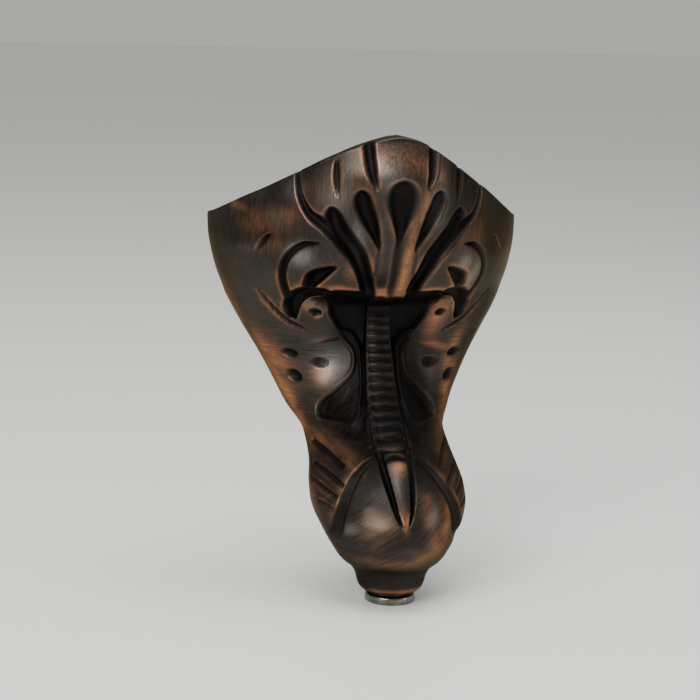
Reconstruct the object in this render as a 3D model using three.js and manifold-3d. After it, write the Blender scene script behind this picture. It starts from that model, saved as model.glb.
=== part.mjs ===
// Claw and ball foot for a free-standing bath: a hollow-backed casting on a levelling screw.
// Units are millimetres, +Z is up and the carved front faces -Y, away from the bath.
// The origin is the centre of the levelling pad's underside, where the foot meets the floor.
import * as THREE from 'three';
import { mergeVertices } from 'three/addons/utils/BufferGeometryUtils.js';
import Module from 'manifold-3d';

const wasm = await Module();
wasm.setup();

// Overall size of the foot as it stands, over the levelling pad
const FOOT_HEIGHT = 196.6;
const FOOT_WIDTH = 139.6;
const FOOT_DEPTH = 102.0;

// Casting
const WALL = 5.2;
const COLLAR_BOTTOM = 5.0;
const COLLAR_RADIUS = 15.2;
const FLOOR_HEIGHT = 27.0;
const BOSS_RADIUS = 9.5;
const BOSS_HEIGHT = 7.0;
const RIM_ROUND = 1.4;
const WING_FLAT = 2.0;

// Cross web that the bath's bracket bolts to
const WEB_HEIGHT = 34.0;
const WEB_THICKNESS = 6.5;
const WEB_MIDDLE = 130.0;
const WEB_BACK = 66.0;
const BOLT_HOLE_DIAMETER = 10.5;

// Levelling screw and its swivelling pad
const STUD_DIAMETER = 8.0;
const STUD_LENGTH = 38.0;
const PAD_DIAMETER = 21.6;
const PAD_THICKNESS = 3.5;
const PAD_ROUND = 0.8;
const NECK_DIAMETER = 5.6;
const SOCKET_DEPTH = 1.8;
const CLEARANCE = 0.3;
const NECK_CHAMFER = 0.4;
const STUD_SHOULDER_CHAMFER = 0.5;
const STUD_TIP_CHAMFER = 0.8;

// Depths of the carving, under the plain skin
const VALLEY_DEPTH = 5.0;
const TEAR_DEPTH = 3.2;
const GROOVE_DEPTH = 2.6;
const DASH_DEPTH = 2.0;
const PIT_DEPTH = 2.4;
const FEATHER_DEPTH = 1.4;
const CREASE_DEPTH = 0.8;
const SCUTE_DEPTH = 0.9;
const SCUTE_COUNT = 14;
const HOLLOW_DEPTH = 5.5;
const BEVEL_DEPTH = 2.8;
const EYE_RING_DEPTH = 4.0;
const COMMA_DEPTH = 5.0;
const CHEEK_STEP = 1.3;
const BALL_STEP = 1.8;
const CLAW_GROOVE_DEPTH = 4.4;
const EYE_RADIUS = 6.6;
const EYE_RISE = 1.0;

// The sections below are drawn at this size and stretch with the driving sizes above
const DRAWN_HEIGHT = 196.6;
const DRAWN_WIDTH = 139.6;
const DRAWN_DEPTH = 102.0;
const DRAWN_COLLAR = 15.2;
const TALL = FOOT_HEIGHT / DRAWN_HEIGHT;
const WIDE = FOOT_WIDTH / DRAWN_WIDTH;
const DEEP = FOOT_DEPTH / DRAWN_DEPTH;
const COLLAR = COLLAR_RADIUS / DRAWN_COLLAR;

// Makes x^3 (1 - x) reach 1 at its highest, where x is 3/4
const FLAT_PEAK = 256 / 27;

// Horizontal sections of the outside, from the floor up:
// height, spine (how far back the section's centre lies), half width,
// reach forward on the centre line, reach at 45 degrees, reach behind the spine
const COLLAR_SECTIONS = [
  [5.0, 0.0, 11.6, 11.6, 11.6, 11.6],
  [6.4, 0.0, 13.2, 13.2, 13.2, 13.2],
  [9.0, 0.0, 14.4, 14.4, 14.4, 14.4],
  [13.0, 0.0, 15.6, 15.6, 15.6, 15.6],
];
const BODY_SECTIONS = [
  [15.5, 0.2, 17.4, 17.6, 17.4, 17.2],
  [18.0, 0.5, 20.6, 21.2, 20.8, 20.0],
  [25.0, 2.0, 25.8, 26.8, 26.2, 26.0],
  [32.0, 4.0, 29.6, 30.4, 29.8, 31.0],
  [38.0, 6.5, 32.3, 31.6, 31.4, 33.0],
  [44.0, 9.5, 33.5, 31.2, 31.6, 33.0],
  [50.0, 14.0, 33.3, 30.6, 30.4, 31.0],
  [56.0, 21.0, 32.0, 31.8, 29.0, 27.0],
  [61.0, 30.0, 31.4, 35.0, 29.0, 20.0],
  [66.0, 40.0, 31.3, 35.5, 30.0, 13.0],
  [75.0, 54.0, 36.5, 40.0, 32.0, 3.0],
  [87.0, 60.5, 42.5, 36.6, 32.5, 0.0],
  [97.0, 64.0, 47.8, 35.0, 34.0, 0.0],
  [108.0, 67.5, 54.4, 33.6, 38.0, 0.0],
  [118.0, 69.5, 60.0, 34.6, 45.4, 0.0],
  [122.5, 70.9, 62.2, 38.5, 50.0, 0.0],
  [124.8, 71.5, 63.0, 45.0, 52.5, 0.0],
  [127.0, 72.1, 63.8, 55.5, 55.0, 0.0],
  [131.5, 73.3, 65.5, 59.0, 59.8, 0.0],
  [140.0, 74.8, 67.8, 66.3, 65.4, 0.0],
  [150.0, 75.7, 69.5, 71.6, 67.0, 0.0],
  [165.0, 76.0, 69.8, 77.0, 66.0, 0.0],
  [178.0, 76.0, 69.8, 78.5, 64.5, 0.0],
  [188.0, 76.0, 69.8, 76.0, 63.0, 0.0],
  [197.0, 76.0, 69.8, 71.6, 62.0, 0.0],
];

// The wings don't follow the brow's step: the reach forward that they are drawn with, by height,
// the heights between which it comes in and goes out, and the angles over which it does
const WING_FRONT = [[97, 35], [108, 34.5], [118, 41.5], [127, 50.5], [140, 63.8], [150, 71.6]];
const WING_FRONT_FROM = [97, 104];
const WING_FRONT_TO = [146, 150];
const WING_ANGLES = [34, 56];

// Heights between which the wings flatten out
const WING_FLAT_HEIGHTS = [90, 135];

// Height of the top edge by angle from the centre line in degrees, to the left and to the right
const RIM = [
  [0, 196.6, 196.6], [4, 196, 195.7], [8, 194.8, 193.9], [16, 191.7, 187.9],
  [25, 187.1, 181.6], [35, 181.3, 176.4], [45, 176.3, 172.5], [55, 171.6, 168.1],
  [65, 167.1, 163.3], [75, 162.3, 159.2], [83, 159.1, 157.8], [90, 157.6, 157.3],
];

// The eye of each scroll: angle from the centre line in degrees, and height
const EYE = [41.4, 118.8];

// Shares of the eye's radius where its dome begins to fall and where it ends
const EYE_TOP = 0.7;
const EYE_FOOT = 1.2;

// Places sunk straight back from the front, on one side and mirrored on the other. Each outline is
// how far from the centre line and how high. The depth fades out between the two heights of "low"
// and between the two angles of "side".
const SUNKEN = [
  { // beside the shank's ridge, under the brow
    depth: HOLLOW_DEPTH,
    outline: [[5.1, 126.6], [9.1, 129.6], [25.1, 130.1], [25.1, 125.7], [23.4, 120.3],
      [21.9, 116.7], [20.7, 114.2], [17.6, 109.5], [13.6, 108.4], [11.2, 106.9], [8.1, 102.1],
      [7.8, 94], [7.5, 87.6], [9.8, 81.2], [13, 75], [16.9, 72.5], [27.4, 72.1], [22.3, 68.9],
      [18.6, 64], [13.1, 61.5], [6.4, 61.5], [6.4, 66], [5.7, 78], [4.9, 94], [4.6, 110]],
  },
  { // the bevel between the cheek and that hollow
    depth: BEVEL_DEPTH,
    outline: [[17.5, 110], [16.7, 106.9], [11.8, 101.8], [11.3, 96.8], [13.1, 91.3], [18.5, 85.6],
      [26, 78.2], [27.2, 71.8], [17, 71.8], [12, 74], [9, 81], [6.9, 87.6], [7.2, 94], [7.5, 102.5],
      [10.9, 107.5], [13.4, 109]],
  },
  { // round the eye of the scroll
    depth: EYE_RING_DEPTH,
    outline: [[24.2, 130.3], [35.8, 130.6], [38.6, 128.2], [40.4, 126.5], [41.5, 121.8],
      [40.7, 117.3], [38.7, 114.8], [35.7, 114.2], [35, 117.5], [34.3, 122.1], [32.3, 125.4],
      [29.4, 126.7], [26.1, 125.5], [23.9, 121.8], [22.8, 117.7], [21.4, 114.6], [19.8, 115.6],
      [21.5, 122.4]],
  },
  { // the comma-shaped pocket above it
    depth: COMMA_DEPTH,
    outline: [[35.6, 129.7], [35.9, 133.1], [35.3, 136.4], [33.8, 138.2], [31.4, 139.4],
      [23.9, 141.1], [24.8, 138], [25.1, 134.9], [24.5, 129.3]],
  },
  { // the cheek, a step below the scroll's plate
    depth: CHEEK_STEP,
    low: [86, 98],
    side: [38, 56],
    outline: [[16.4, 107.2], [17.9, 106.5], [35.1, 102.1], [44.1, 100.1], [44, 84], [20, 84],
      [18, 85.6], [12.8, 91.3], [11, 96.8], [11.5, 102.2]],
  },
  { // the ball, a step below the cuff that grips it
    depth: BALL_STEP,
    low: [28, 38],
    outline: [[4.9, 62], [11.5, 61], [19.4, 54.8], [24.4, 48], [27.6, 40], [27.8, 31.5], [24, 27],
      [-0.6, 27], [-0.6, 34.4], [0.4, 35.3], [1.8, 40], [3.1, 48.5], [3.8, 54], [4.6, 60]],
  },
  { // beside the claw
    depth: CLAW_GROOVE_DEPTH,
    low: [34, 44],
    outline: [[4.9, 62.4], [4.6, 60], [3.8, 54], [3.1, 48.5], [1.8, 40], [0.4, 35.2], [1.7, 35.7],
      [5.3, 44], [7, 50], [8.4, 56], [8.6, 62.4]],
  },
];

// Carved grooves on one side, mirrored on the other. Each point of a path is an angle, a height
// and a half width.
const SIDE_GROOVES = [
  {
    depth: VALLEY_DEPTH,
    path: [[22.6, 166.7, 1.8], [22.1, 162.3, 4.2], [20.2, 156.3, 4.8], [14.3, 146.7, 4.2],
      [11, 135.6, 3.3], [9.8, 128.6, 2.6]],
  },
  {
    depth: GROOVE_DEPTH,
    path: [[37.8, 179.4, 0.9], [35.8, 170.3, 1.4], [31.2, 162.7, 1.6], [25.3, 158.4, 2.2],
      [19.8, 152.3, 2]],
  },
  {
    depth: TEAR_DEPTH,
    path: [[12.8, 174.1, 2.5], [12.6, 171.6, 3.9], [11.4, 166.1, 3.9], [9.5, 160.1, 3],
      [7.8, 154.5, 1.7], [6.3, 149, 0.5]],
  },
  {
    depth: DASH_DEPTH,
    path: [[21.6, 185.7, 0.8], [21.3, 179.2, 1.8], [20.5, 170.8, 0.4]],
  },
  {
    depth: DASH_DEPTH,
    path: [[11.4, 194.6, 2.4], [9.7, 182, 2], [8.1, 174.7, 0.4]],
  },
  {
    depth: GROOVE_DEPTH,
    path: [[27.5, 150.9, 0.4], [34.1, 149.5, 1.2], [40.4, 144.6, 1.8], [44.8, 137.5, 2.1],
      [47.7, 130.4, 2.3], [50.8, 122.8, 1.8], [52, 116.5, 0.6]],
  },
  {
    depth: DASH_DEPTH,
    path: [[49, 152.4, 0.5], [52.6, 149.2, 1.4], [56, 144.9, 0.7]],
  },
  {
    depth: DASH_DEPTH,
    path: [[63.1, 126.8, 0.5], [61.8, 119.6, 1], [57.7, 113.6, 1], [49.4, 109.2, 0.4]],
  },
  {
    depth: PIT_DEPTH,
    path: [[59.9, 98.6, 0.7], [64.2, 98.6, 1.7], [68.5, 98.6, 0.7]],
  },
  {
    depth: PIT_DEPTH,
    path: [[61.3, 89, 1.1], [66, 89, 2.5], [70.7, 89, 1.1]],
  },
  {
    depth: PIT_DEPTH,
    path: [[41, 96.5, 0.9], [46.9, 96, 2.3], [52.8, 95.5, 0.9]],
  },
  {
    depth: PIT_DEPTH,
    path: [[38.1, 117.9, 1.2], [40.5, 118, 2.2], [42.9, 118, 1.2]],
  },
  {
    depth: FEATHER_DEPTH,
    path: [[76, 64.2, 0.6], [61, 61, 1.1], [46.6, 57.1, 0.5]],
  },
  {
    depth: FEATHER_DEPTH,
    path: [[80.2, 57.1, 0.6], [64, 54.4, 1.1], [49, 51, 0.5]],
  },
  {
    depth: FEATHER_DEPTH,
    path: [[84.6, 51.5, 0.6], [70, 49.4, 1], [54.8, 46.7, 0.5]],
  },
  {
    depth: FEATHER_DEPTH,
    path: [[74.5, 44, 0.4], [66, 43.4, 0.7], [58.2, 42.2, 0.3]],
  },
];

// Carved grooves on the centre line
const CENTRE_GROOVES = [
  {
    depth: TEAR_DEPTH,
    path: [[0, 178.5, 3], [0, 176.6, 6], [0, 171, 6.5], [0, 165.7, 4.8], [0, 160.4, 3],
      [0, 154.9, 1.5], [0, 151, 0.5]],
  },
  {
    depth: CREASE_DEPTH,
    path: [[0, 152, 0.4], [0, 140, 1.2], [0, 128.5, 1.5]],
  },
];

// Scutes of the shank's ridge: their lowest and highest heights, and the ridge's half width by height
const SCUTES_FROM = 64;
const SCUTES_TO = 118;
const RIDGE_HALF = [[62, 6.4], [66, 6.4], [78, 5.7], [94, 4.9], [110, 4.6], [127, 4.8]];

// Mesh density of the casting's outside and of its hollow
const FRONT_COLUMNS = 32;
const BACK_COLUMNS = 8;
const COLUMN_CROWDING = 1.2;
const UPPER_ROWS_FROM = 150;
const UPPER_ROWS = 5;
const COLLAR_ROWS = [5, 6.4, 9, 12.5];
const BODY_ROWS = [
  15.5, 18, 23, 28.5, 34, 39.5, 45, 50.5, 56, 61, 66, 71, 76, 81.5, 87, 92.5, 98, 103.5,
  109, 114, 118.5, 122.5, 124.8, 127, 129, 131.5, 136.5, 143,
];
const HOLLOW_ROWS = [
  33, 40, 48, 56, 62, 68, 76, 86, 97, 108, 118, 122.5, 127, 132, 140, 152, 165, 178, 190, 205,
];
const ROUND_SEGMENTS = 36;

// How deep in from the front the blocks' closing faces meet, at the drawn size
const MIDDLE = 45;

// How far the hollow reaches behind the spine by height, and how much smaller its floor is
const HOLLOW_BACK = [[27, 14], [40, 24], [50, 22], [58, 30], [66, 40], [197, 60]];
const FLOOR_SHARE = 0.8;

// Heights between which the hollow's front drops back to clear the sunken places, those between
// which it comes forward again above the brow, and the angles over which it does so
const HOLLOW_BACK_OFF = [52, 66];
const HOLLOW_FORWARD = [132, 142];
const HOLLOW_ANGLES = [34, 60];

// Cutters start this far outside the skin, and a faded place stays this far outside it
const CUTTER_LIFT = 3;
const SKIN_GAP = 0.05;

// Share of a groove's width that is flat at the bottom, and of its depth that is left at its ends
const GROOVE_FLAT = 0.5;
const GROOVE_END = 0.35;

// The grooves between scutes: how far they reach past the ridge's half width, as a share of it,
// how much lower their ends lie, and their half widths at the ends and between them
const SCUTE_REACH = 1.15;
const SCUTE_BOW = 0.4;
const SCUTE_END_HALF = 0.4;
const SCUTE_MIDDLE_HALF = 0.7;

// How far the boss reaches down into the collar's floor
const BOSS_SUNK = 2;

const radians = THREE.MathUtils.degToRad;
const { smoothstep } = THREE.MathUtils;

// A smooth curve through a table's rows that never overshoots them
function curve(table, column, x) {
  const last = table.length - 1;
  if (x <= table[0][0]) return table[0][column];
  if (x >= table[last][0]) return table[last][column];
  let i = 0;
  while (table[i + 1][0] < x) i += 1;
  const step = (k) => table[k + 1][0] - table[k][0];
  const slope = (k) => (table[k + 1][column] - table[k][column]) / step(k);
  const tangent = (k) => {
    if (k === 0) return slope(0);
    if (k === last) return slope(last - 1);
    const [before, after] = [slope(k - 1), slope(k)];
    if (before * after <= 0) return 0;
    const mean = (before * step(k) + after * step(k - 1)) / (step(k) + step(k - 1));
    return Math.sign(mean) * Math.min(Math.abs(mean), 3 * Math.abs(before), 3 * Math.abs(after));
  };
  const h = step(i);
  const t = (x - table[i][0]) / h;
  const a = (1 + 2 * t) * (1 - t) ** 2 * table[i][column]
    + t * t * (3 - 2 * t) * table[i + 1][column];
  return a + t * (1 - t) ** 2 * h * tangent(i) - t * t * (1 - t) * h * tangent(i + 1);
}

// The collar takes its own radius and the body above it the overall size
const SECTIONS = [
  ...COLLAR_SECTIONS.map(([z, y, ...radii]) => [
    z - COLLAR_ROWS[0] + COLLAR_BOTTOM, y, ...radii.map((r) => r * COLLAR),
  ]),
  ...BODY_SECTIONS.map(([z, y, side, front, corner, back]) => [
    z * TALL, y * DEEP, side * WIDE, front * DEEP, corner * (DEEP + WIDE) / 2, back * DEEP,
  ]),
];

const spine = (z) => curve(SECTIONS, 1, z);
const halfWidth = (z) => curve(SECTIONS, 2, z);
const backReach = (z) => curve(SECTIONS, 5, z);
const rimHeight = (angle) => curve(RIM, angle < 0 ? 1 : 2, Math.abs(angle)) * TALL;

// How far the wings are flattened between the corner and the back edge
const wingFlat = (z) => WING_FLAT * smoothstep(z / TALL, ...WING_FLAT_HEIGHTS);

// Reach forward that shapes the outside at an angle, from the centre line's to the wings' own
function frontReach(angle, z) {
  const height = z / TALL;
  const share = smoothstep(Math.abs(angle), ...WING_ANGLES)
    * smoothstep(height, ...WING_FRONT_FROM)
    * (1 - smoothstep(height, ...WING_FRONT_TO));
  const centre = curve(SECTIONS, 3, z);
  return centre + (curve(WING_FRONT, 1, height) * DEEP - centre) * share;
}

// Radius of the plain outside at an angle from the centre line, before any carving
function plainRadius(angle, z) {
  const share = Math.sin(radians(angle)) ** 2;
  const front = frontReach(angle, z) * (1 - share) * (1 - 2 * share);
  const corner = curve(SECTIONS, 4, z) * 4 * share * (1 - share);
  const flat = wingFlat(z) * FLAT_PEAK * share ** 3 * (1 - share);
  return front + corner + halfWidth(z) * share * (2 * share - 1) - flat;
}

function skinPoint(angle, z, radius) {
  const turn = radians(angle);
  return new THREE.Vector3(radius * Math.sin(turn), spine(z) - radius * Math.cos(turn), z);
}

// Radius of the outside with the raised eyes of the scrolls
function raisedRadius(angle, z) {
  const plain = plainRadius(angle, z);
  const eye = skinPoint(EYE[0], EYE[1] * TALL, plainRadius(EYE[0], EYE[1] * TALL));
  const apart = skinPoint(Math.abs(angle), z, plain).distanceTo(eye);
  return plain + EYE_RISE * (1 - smoothstep(apart, EYE_RADIUS * EYE_TOP, EYE_RADIUS * EYE_FOOT));
}

// Turns a position-only geometry into a solid, and a solid back into a geometry
function solid(geometry) {
  const bare = geometry.clone();
  bare.deleteAttribute('normal');
  bare.deleteAttribute('uv');
  const merged = mergeVertices(bare, 1e-4);
  return new wasm.Manifold(new wasm.Mesh({
    numProp: 3,
    vertProperties: new Float32Array(merged.attributes.position.array),
    triVerts: new Uint32Array(merged.index.array),
  }));
}

function geometryOf(body) {
  const { vertProperties, triVerts, numProp } = body.getMesh();
  const positions = new Float32Array((vertProperties.length / numProp) * 3);
  for (let i = 0; i < positions.length / 3; i += 1) {
    for (let k = 0; k < 3; k += 1) positions[3 * i + k] = vertProperties[numProp * i + k];
  }
  const geometry = new THREE.BufferGeometry();
  geometry.setAttribute('position', new THREE.BufferAttribute(positions, 3));
  geometry.setIndex(new THREE.BufferAttribute(new Uint32Array(triVerts), 1));
  geometry.computeVertexNormals();
  return geometry;
}

// A closed body through rings of points that run the same way round, turned to face outwards
function loft(rings, bottomCentre, topCentre) {
  const count = rings[0].length;
  const points = rings.flat();
  const faces = [];
  for (let row = 0; row + 1 < rings.length; row += 1) {
    for (let i = 0; i < count; i += 1) {
      const a = row * count + i;
      const b = row * count + ((i + 1) % count);
      faces.push(a, b, b + count, a, b + count, a + count);
    }
  }
  const low = points.push(bottomCentre) - 1;
  const high = points.push(topCentre) - 1;
  const top = (rings.length - 1) * count;
  for (let i = 0; i < count; i += 1) {
    const next = (i + 1) % count;
    faces.push(low, next, i, high, top + i, top + next);
  }
  let volume = 0;
  for (let i = 0; i < faces.length; i += 3) {
    volume += points[faces[i]].dot(points[faces[i + 1]].clone().cross(points[faces[i + 2]]));
  }
  if (volume < 0) faces.reverse();
  const positions = new Float32Array(points.flatMap((p) => [p.x, p.y, p.z]));
  const geometry = new THREE.BufferGeometry();
  geometry.setAttribute('position', new THREE.BufferAttribute(positions, 3));
  geometry.setIndex(faces);
  return solid(geometry);
}

function frontAngles(count) {
  const angles = [];
  for (let i = 0; i <= count; i += 1) {
    const t = (2 * i) / count - 1;
    angles.push(90 * Math.sign(t) * Math.abs(t) ** COLUMN_CROWDING);
  }
  return angles;
}

// The half ring of points behind the spine, from the right-hand edge round to the left-hand one
function backPoints(z, inset, reach) {
  const points = [];
  for (let k = 1; k < BACK_COLUMNS; k += 1) {
    const turn = (Math.PI * k) / BACK_COLUMNS;
    const x = (halfWidth(z) - inset) * Math.cos(turn);
    points.push(new THREE.Vector3(x, spine(z) + reach * Math.sin(turn), z));
  }
  return points;
}

// The casting's outside as one closed block, before it is hollowed and carved
function outerBlock() {
  const angles = frontAngles(FRONT_COLUMNS);
  const ring = (heightAt, inset) => {
    const front = angles.map((angle) => {
      const z = heightAt(angle);
      return skinPoint(angle, z, raisedRadius(angle, z) - inset);
    });
    const edge = heightAt(90);
    return [...front, ...backPoints(edge, inset, backReach(edge))];
  };
  const from = UPPER_ROWS_FROM * TALL;
  const rings = [
    ...COLLAR_ROWS.map((z) => ring(() => z - COLLAR_ROWS[0] + COLLAR_BOTTOM, 0)),
    ...BODY_ROWS.map((z) => ring(() => z * TALL, 0)),
  ];
  for (let row = 0; row <= UPPER_ROWS; row += 1) {
    const share = row / UPPER_ROWS;
    rings.push(ring((angle) => from + (rimHeight(angle) - RIM_ROUND - from) * share, 0));
  }
  rings.push(ring((angle) => rimHeight(angle), RIM_ROUND));
  rings.push(ring((angle) => rimHeight(angle), WALL + GROOVE_DEPTH + RIM_ROUND));
  const bottom = new THREE.Vector3(0, 0, COLLAR_BOTTOM);
  return loft(rings, bottom, new THREE.Vector3(0, MIDDLE * DEEP, rimHeight(90)));
}

// A closed block whose front lies under the plain skin by a depth that may change over it
function innerBlock(depthAt) {
  const angles = frontAngles(FRONT_COLUMNS);
  const rings = BODY_ROWS.map((row) => {
    const z = row * TALL;
    const front = angles.map((angle) => {
      const radius = plainRadius(angle, z) - depthAt(angle, z);
      return skinPoint(angle, z, radius);
    });
    return [...front, ...backPoints(z, 0, backReach(z))];
  });
  const bottom = new THREE.Vector3(0, 0, BODY_ROWS[0] * TALL);
  const top = new THREE.Vector3(0, MIDDLE * DEEP, BODY_ROWS[BODY_ROWS.length - 1] * TALL);
  return loft(rings, bottom, top);
}

// What one sunken place takes away: a straight prism in front of its floor
function sunkenCutters({ depth, low, side, outline }) {
  const share = (angle, z) => (low ? smoothstep(z / TALL, ...low) : 1)
    * (side ? 1 - smoothstep(Math.abs(angle), ...side) : 1);
  const floor = innerBlock((angle, z) => (depth + SKIN_GAP) * share(angle, z) - SKIN_GAP);
  return [-1, 1].map((sign) => {
    const shape = new THREE.Shape(outline.map(([x, z]) => new THREE.Vector2(sign * x * WIDE, z * TALL)));
    const prism = new THREE.ExtrudeGeometry(shape, { depth: FOOT_DEPTH, bevelEnabled: false });
    prism.rotateX(Math.PI / 2);
    prism.translate(0, MIDDLE * DEEP, 0);
    return solid(prism).subtract(floor);
  });
}

// The hollow that the back and the top open into: it keeps a wall behind the carving
function hollowBody() {
  const angles = frontAngles(FRONT_COLUMNS / 2);
  const allowance = WALL + GROOVE_DEPTH;
  const rings = HOLLOW_ROWS.map((row) => {
    const z = row * TALL;
    const low = smoothstep(row, ...HOLLOW_BACK_OFF);
    const high = smoothstep(row, ...HOLLOW_FORWARD);
    const behind = low * (1 - high) * HOLLOW_DEPTH + high * (VALLEY_DEPTH - GROOVE_DEPTH);
    const front = angles.map((angle) => {
      const near = 1 - smoothstep(Math.abs(angle), ...HOLLOW_ANGLES);
      return skinPoint(angle, z, plainRadius(angle, z) - allowance - behind * near);
    });
    return [...front, ...backPoints(z, allowance, curve(HOLLOW_BACK, 1, row) * DEEP)];
  });
  const floor = rings[0].map((p) => new THREE.Vector3(p.x * FLOOR_SHARE, p.y * FLOOR_SHARE, FLOOR_HEIGHT));
  const top = new THREE.Vector3(0, MIDDLE * DEEP, HOLLOW_ROWS[HOLLOW_ROWS.length - 1] * TALL);
  return loft([floor, ...rings], new THREE.Vector3(0, spine(FLOOR_HEIGHT), FLOOR_HEIGHT), top);
}

// A boat-shaped cutter that follows a path over the skin
function grooveCutter(path, depth, mirrored) {
  const sign = mirrored ? -1 : 1;
  const place = ([angle, z]) => skinPoint(sign * angle, z * TALL, plainRadius(angle, z * TALL));
  const spots = path.map(place);
  const normalAt = ([angle, z]) => {
    const here = (da, dz) => {
      const height = z * TALL + dz;
      return skinPoint(sign * angle + da, height, plainRadius(angle + sign * da, height));
    };
    const along = here(1, 0).sub(here(-1, 0));
    const up = here(0, 0.5).sub(here(0, -0.5));
    return along.cross(up).normalize();
  };
  const rings = path.map((station, i) => {
    const normal = normalAt(station);
    const before = spots[Math.max(0, i - 1)];
    const after = spots[Math.min(spots.length - 1, i + 1)];
    const side = after.clone().sub(before).cross(normal).normalize();
    const half = station[2];
    const end = i === 0 || i === path.length - 1;
    const bottom = end ? -GROOVE_END * depth : -depth;
    const corner = (u, v) => spots[i].clone().addScaledVector(side, u).addScaledVector(normal, v);
    const flat = GROOVE_FLAT * half;
    const mouth = half - ((half - flat) * CUTTER_LIFT) / bottom;
    return [
      corner(-mouth, CUTTER_LIFT), corner(-flat, bottom), corner(flat, bottom), corner(mouth, CUTTER_LIFT),
    ];
  });
  const middle = (ring) => {
    const sum = ring.reduce((total, p) => total.add(p), new THREE.Vector3());
    return sum.divideScalar(ring.length);
  };
  return loft(rings, middle(rings[0]), middle(rings[rings.length - 1]));
}

// The short grooves across the shank's ridge, between its scutes
function scuteCutters() {
  const cutters = [];
  for (let i = 0; i < SCUTE_COUNT; i += 1) {
    const z = SCUTES_FROM + ((SCUTES_TO - SCUTES_FROM) * i) / SCUTE_COUNT;
    const half = curve(RIDGE_HALF, 1, z) * WIDE * SCUTE_REACH;
    const reach = THREE.MathUtils.radToDeg(Math.asin(half / curve(SECTIONS, 3, z * TALL)));
    const end = (sign) => [sign * reach, z - SCUTE_BOW, SCUTE_END_HALF];
    const inner = (sign) => [(sign * reach) / 2, z, SCUTE_MIDDLE_HALF];
    const path = [end(-1), inner(-1), inner(1), end(1)];
    cutters.push(grooveCutter(path, SCUTE_DEPTH, false));
  }
  return cutters;
}

function cylinder(radius, length, centre, alongY = false) {
  const geometry = new THREE.CylinderGeometry(radius, radius, length, ROUND_SEGMENTS);
  if (!alongY) geometry.rotateX(Math.PI / 2);
  geometry.translate(centre.x, centre.y, centre.z);
  return solid(geometry);
}

// A body turned about the upright axis from its outline of radius and height
function turned(outline) {
  const points = outline.map(([r, z]) => new THREE.Vector2(r, z));
  const geometry = new THREE.LatheGeometry(points, ROUND_SEGMENTS);
  geometry.rotateX(Math.PI / 2);
  return solid(geometry);
}

function footCasting() {
  const outside = outerBlock();
  let body = outside.subtract(hollowBody());
  const bossMiddle = FLOOR_HEIGHT + (BOSS_HEIGHT - BOSS_SUNK) / 2;
  const boss = cylinder(BOSS_RADIUS, BOSS_HEIGHT + BOSS_SUNK, new THREE.Vector3(0, 0, bossMiddle));
  const web = new THREE.BoxGeometry(FOOT_WIDTH, WEB_THICKNESS, WEB_HEIGHT);
  web.translate(0, WEB_BACK - WEB_THICKNESS / 2, WEB_MIDDLE);
  body = body.add(solid(web).intersect(outside)).add(boss);
  for (const place of SUNKEN) {
    for (const cutter of sunkenCutters(place)) body = body.subtract(cutter);
  }
  for (const { depth, path } of SIDE_GROOVES) {
    body = body.subtract(grooveCutter(path, depth, false)).subtract(grooveCutter(path, depth, true));
  }
  for (const { depth, path } of CENTRE_GROOVES) body = body.subtract(grooveCutter(path, depth, false));
  for (const cutter of scuteCutters()) body = body.subtract(cutter);
  const holeTop = PAD_THICKNESS + STUD_LENGTH + CLEARANCE;
  const studHole = cylinder(STUD_DIAMETER / 2 + CLEARANCE, holeTop, new THREE.Vector3(0, 0, holeTop / 2));
  const boltPlace = new THREE.Vector3(0, WEB_BACK, WEB_MIDDLE);
  const boltHole = cylinder(BOLT_HOLE_DIAMETER / 2, 4 * WEB_THICKNESS, boltPlace, true);
  return geometryOf(body.subtract(studHole).subtract(boltHole));
}

// The stud's plain neck stands in the pad's socket, and its thread runs up through the collar
function levellingStud() {
  const neck = NECK_DIAMETER / 2;
  const thread = STUD_DIAMETER / 2;
  const foot = PAD_THICKNESS - SOCKET_DEPTH + CLEARANCE;
  const shoulder = PAD_THICKNESS + CLEARANCE;
  const top = foot + STUD_LENGTH;
  return geometryOf(turned([
    [0, foot],
    [neck - NECK_CHAMFER, foot],
    [neck, foot + NECK_CHAMFER],
    [neck, shoulder],
    [thread - STUD_SHOULDER_CHAMFER, shoulder],
    [thread, shoulder + STUD_SHOULDER_CHAMFER],
    [thread, top - STUD_TIP_CHAMFER],
    [thread - STUD_TIP_CHAMFER, top],
    [0, top],
  ]));
}

function levellingPad() {
  const radius = PAD_DIAMETER / 2;
  const socket = NECK_DIAMETER / 2 + CLEARANCE;
  const seat = PAD_THICKNESS - SOCKET_DEPTH;
  const outline = [[0, 0], [radius - PAD_ROUND, 0]];
  for (const centre of [PAD_ROUND, PAD_THICKNESS - PAD_ROUND]) {
    const start = centre === PAD_ROUND ? -90 : 0;
    for (let k = 1; k <= 3; k += 1) {
      const turn = radians(start + 30 * k);
      outline.push([radius - PAD_ROUND + PAD_ROUND * Math.cos(turn), centre + PAD_ROUND * Math.sin(turn)]);
    }
  }
  outline.push([socket, PAD_THICKNESS], [socket, seat], [0, seat]);
  return geometryOf(turned(outline));
}

function part(name, geometry, material) {
  const mesh = new THREE.Mesh(geometry, new THREE.MeshStandardMaterial(material));
  mesh.name = name;
  return mesh;
}

const foot = new THREE.Group();
foot.add(part('foot_casting', footCasting(), { color: 0x3a302a, roughness: 0.42, metalness: 0.85 }));
foot.add(part('levelling_stud', levellingStud(), { color: 0x8c8a84, roughness: 0.35, metalness: 1 }));
foot.add(part('levelling_pad', levellingPad(), { color: 0x9a9890, roughness: 0.25, metalness: 1 }));

export default foot;
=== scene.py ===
import math
import bpy
import numpy as np
from mathutils import Matrix, Vector
from mathutils.kdtree import KDTree


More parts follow.
